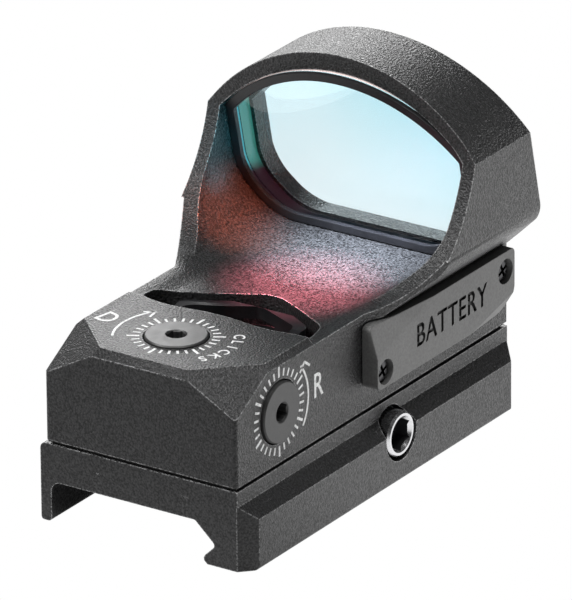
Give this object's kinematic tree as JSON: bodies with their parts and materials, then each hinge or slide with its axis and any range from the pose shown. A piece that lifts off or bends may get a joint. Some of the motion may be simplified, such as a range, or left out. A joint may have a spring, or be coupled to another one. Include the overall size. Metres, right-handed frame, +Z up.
{
  "type": "red dot finder",
  "caption": "Mini reflex finder with a tilted wide lens in an open hood, recessed adjustment dials, side battery drawer and a cross-bolt clamp base for a standard dovetail rail.",
  "frame": {"origin": "centre of the flat seat that rests on top of the rail", "axes": "+X to the user's right, +Y towards the target, +Z up"},
  "size_m": [0.0382, 0.0588, 0.0474],
  "materials": {
    "housing_black": "bead-blasted black anodised aluminium with a fine sparkle",
    "base_black": "satin black anodised aluminium",
    "dial_metal": "turned satin grey",
    "cover_grey": "fine matt grey",
    "black_plastic": "matt black",
    "rubber_black": "matt",
    "bright_steel": "bright turned",
    "black_steel": "black oxide, slightly glossy",
    "brass": "plain",
    "board_green": "solder-masked board",
    "led_red": "clear red",
    "lens_glass": "coated, pale blue in transmission"
  },
  "bodies": {
    "sight_body": {"housing": "housing_black", "lens_inner": "lens_glass", "lens_outer": "lens_glass", "lens_ring": "black_plastic", "mount_base": "base_black", "base_seal": "rubber_black", "base_screw_1": "black_steel", "base_screw_2": "black_steel", "base_screw_3": "black_steel", "base_screw_4": "black_steel", "dowel_1": "bright_steel", "dowel_2": "bright_steel", "elevation_o_ring": "rubber_black", "windage_o_ring": "rubber_black", "elevation_detent_ball": "bright_steel", "windage_detent_ball": "bright_steel", "elevation_spring": "bright_steel", "windage_spring": "bright_steel", "emitter_shroud": "black_plastic", "contact_negative": "brass", "contact_positive": "brass", "circuit_board": "board_green", "button_board": "board_green", "button_up_switch": "black_steel", "button_down_switch": "black_steel"},
    "elevation_dial": {"elevation_screw": "dial_metal", "elevation_clip": "black_steel"},
    "windage_dial": {"windage_screw": "dial_metal", "windage_clip": "black_steel"},
    "elevation_slide_body": {"elevation_yoke": "brass"},
    "emitter_body": {"emitter_carrier": "black_plastic", "emitter_led": "led_red"},
    "battery_drawer": {"battery_tray": "black_plastic", "battery_cover": "cover_grey", "battery_seal": "rubber_black", "coin_cell": "bright_steel"},
    "drawer_screw_rear": {"tray_screw_rear": "black_steel"},
    "drawer_screw_front": {"tray_screw_front": "black_steel"},
    "clamp_screw": {"clamp_bolt": "bright_steel"},
    "clamp": {"clamp_jaw": "bright_steel", "clamp_nut": "bright_steel"},
    "up_button": {"button_up": "rubber_black"},
    "down_button": {"button_down": "rubber_black"}
  },
  "joints": [
    {"name": "elevation_turn", "type": "hinge", "parent": "sight_body", "child": "elevation_dial", "pos_m": [-0.0005, -0.0209, 0.0187], "axis": [0, 0, 1], "range_deg": [-210, 210]},
    {"name": "elevation_travel", "type": "slide", "parent": "sight_body", "child": "elevation_slide_body", "axis": [0, 0, 1], "range_m": [-0.0002333, 0.0002333]},
    {"name": "windage_turn", "type": "hinge", "parent": "sight_body", "child": "windage_dial", "pos_m": [0.0139, -0.0203, 0.0118], "axis": [1, 0, 0], "range_deg": [-210, 210]},
    {"name": "windage_travel", "type": "slide", "parent": "elevation_slide_body", "child": "emitter_body", "axis": [1, 0, 0], "range_m": [-0.0002333, 0.0002333]},
    {"name": "battery_drawer_slide", "type": "slide", "parent": "sight_body", "child": "battery_drawer", "axis": [1, 0, 0], "range_m": [0, 0.024]},
    {"name": "drawer_screw_rear_turn", "type": "hinge", "parent": "battery_drawer", "child": "drawer_screw_rear", "pos_m": [0.0157, -0.00105, 0.0104], "axis": [1, 0, 0], "continuous": true},
    {"name": "drawer_screw_front_turn", "type": "hinge", "parent": "battery_drawer", "child": "drawer_screw_front", "pos_m": [0.0157, 0.0254, 0.01385], "axis": [1, 0, 0], "continuous": true},
    {"name": "clamp_screw_turn", "type": "hinge", "parent": "sight_body", "child": "clamp_screw", "pos_m": [0.0154, 0.0031, 0.00065], "axis": [1, 0, 0], "range_deg": [0, 1080.01]},
    {"name": "clamp_travel", "type": "slide", "parent": "sight_body", "child": "clamp", "axis": [-1, 0, 0], "range_m": [0, 0.0021]},
    {"name": "up_button_press", "type": "slide", "parent": "sight_body", "child": "up_button", "axis": [1, 0, 0], "range_m": [0, 0.0004], "stiffness_N_per_m": 500, "springref_m": -0.0002},
    {"name": "down_button_press", "type": "slide", "parent": "sight_body", "child": "down_button", "axis": [1, 0, 0], "range_m": [0, 0.0004], "stiffness_N_per_m": 500, "springref_m": -0.0002}
  ],
  "couplings": [
    {"joint": "elevation_turn", "follows": "elevation_travel", "rad_per_m": 15708},
    {"joint": "windage_turn", "follows": "windage_travel", "rad_per_m": 15708},
    {"joint": "clamp_screw_turn", "follows": "clamp_travel", "rad_per_m": 8976}
  ]
}
